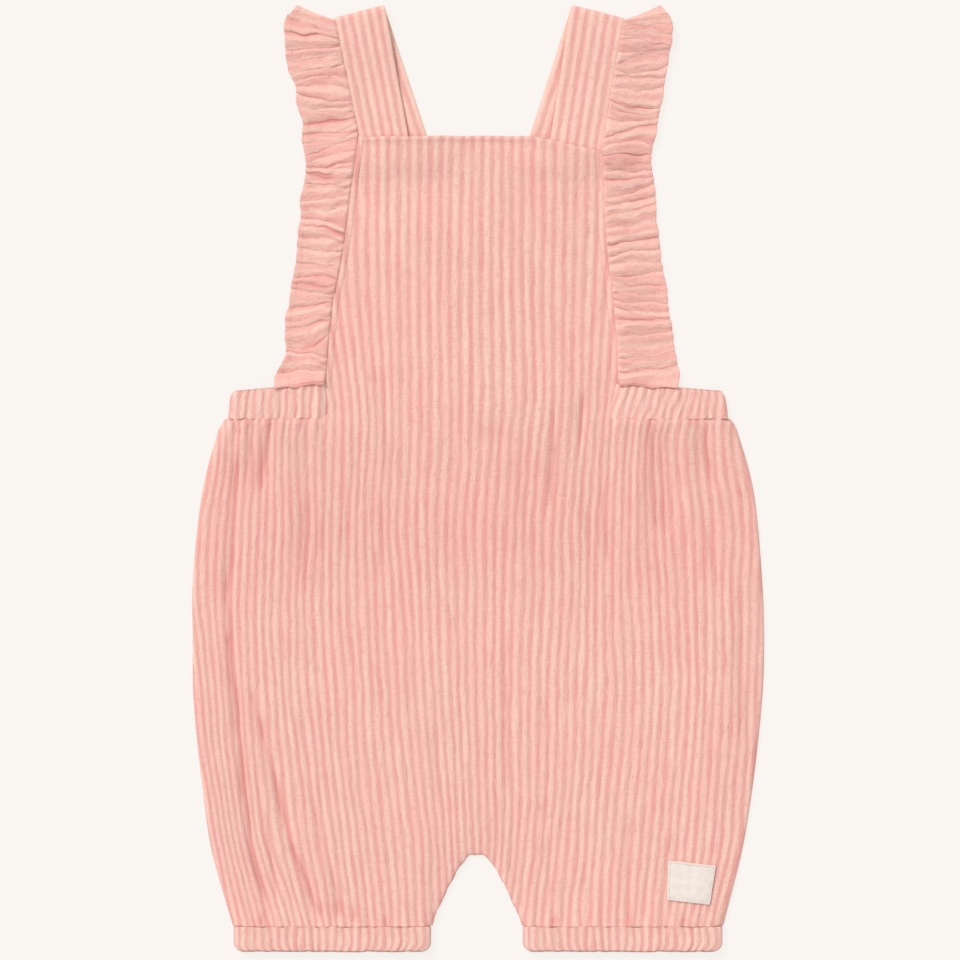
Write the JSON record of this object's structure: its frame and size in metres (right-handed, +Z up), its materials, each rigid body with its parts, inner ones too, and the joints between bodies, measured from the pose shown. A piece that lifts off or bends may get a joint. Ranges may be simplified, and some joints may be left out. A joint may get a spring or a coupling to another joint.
{
  "type": "baby jumpsuit",
  "caption": "Sleeveless baby jumpsuit in striped crinkle cotton, laid flat: bib front, ruffled shoulder straps, elastic waist casing and cuffed legs.",
  "frame": {"origin": "middle of the garment's outline, on the surface that it lies on", "axes": "+Y from the leg hems to the shoulders, +Z up out of the garment's front, +X to the right as the picture shows it (the wearer's left)"},
  "size_m": [0.2847, 0.4731, 0.0062],
  "materials": {
    "striped_cotton": "crinkled double-layer cotton with fine peach and pink stripes along the garment, matt",
    "ruffle_cotton": "the same striped crinkle cotton, gathered, with the stripes across the ruffle",
    "casing_cotton": "the same striped crinkle cotton, gathered over elastic",
    "label_cotton": "off-white woven cotton tape, bare"
  },
  "bodies": {
    "root": {"front_panel": "striped_cotton", "back_panel": "striped_cotton", "waistband": "casing_cotton", "strap_left": "striped_cotton", "strap_right": "striped_cotton", "ruffle_left": "ruffle_cotton", "ruffle_right": "ruffle_cotton", "leg_cuff_left": "casing_cotton", "leg_cuff_right": "casing_cotton", "side_label": "label_cotton"}
  },
  "joints": []
}
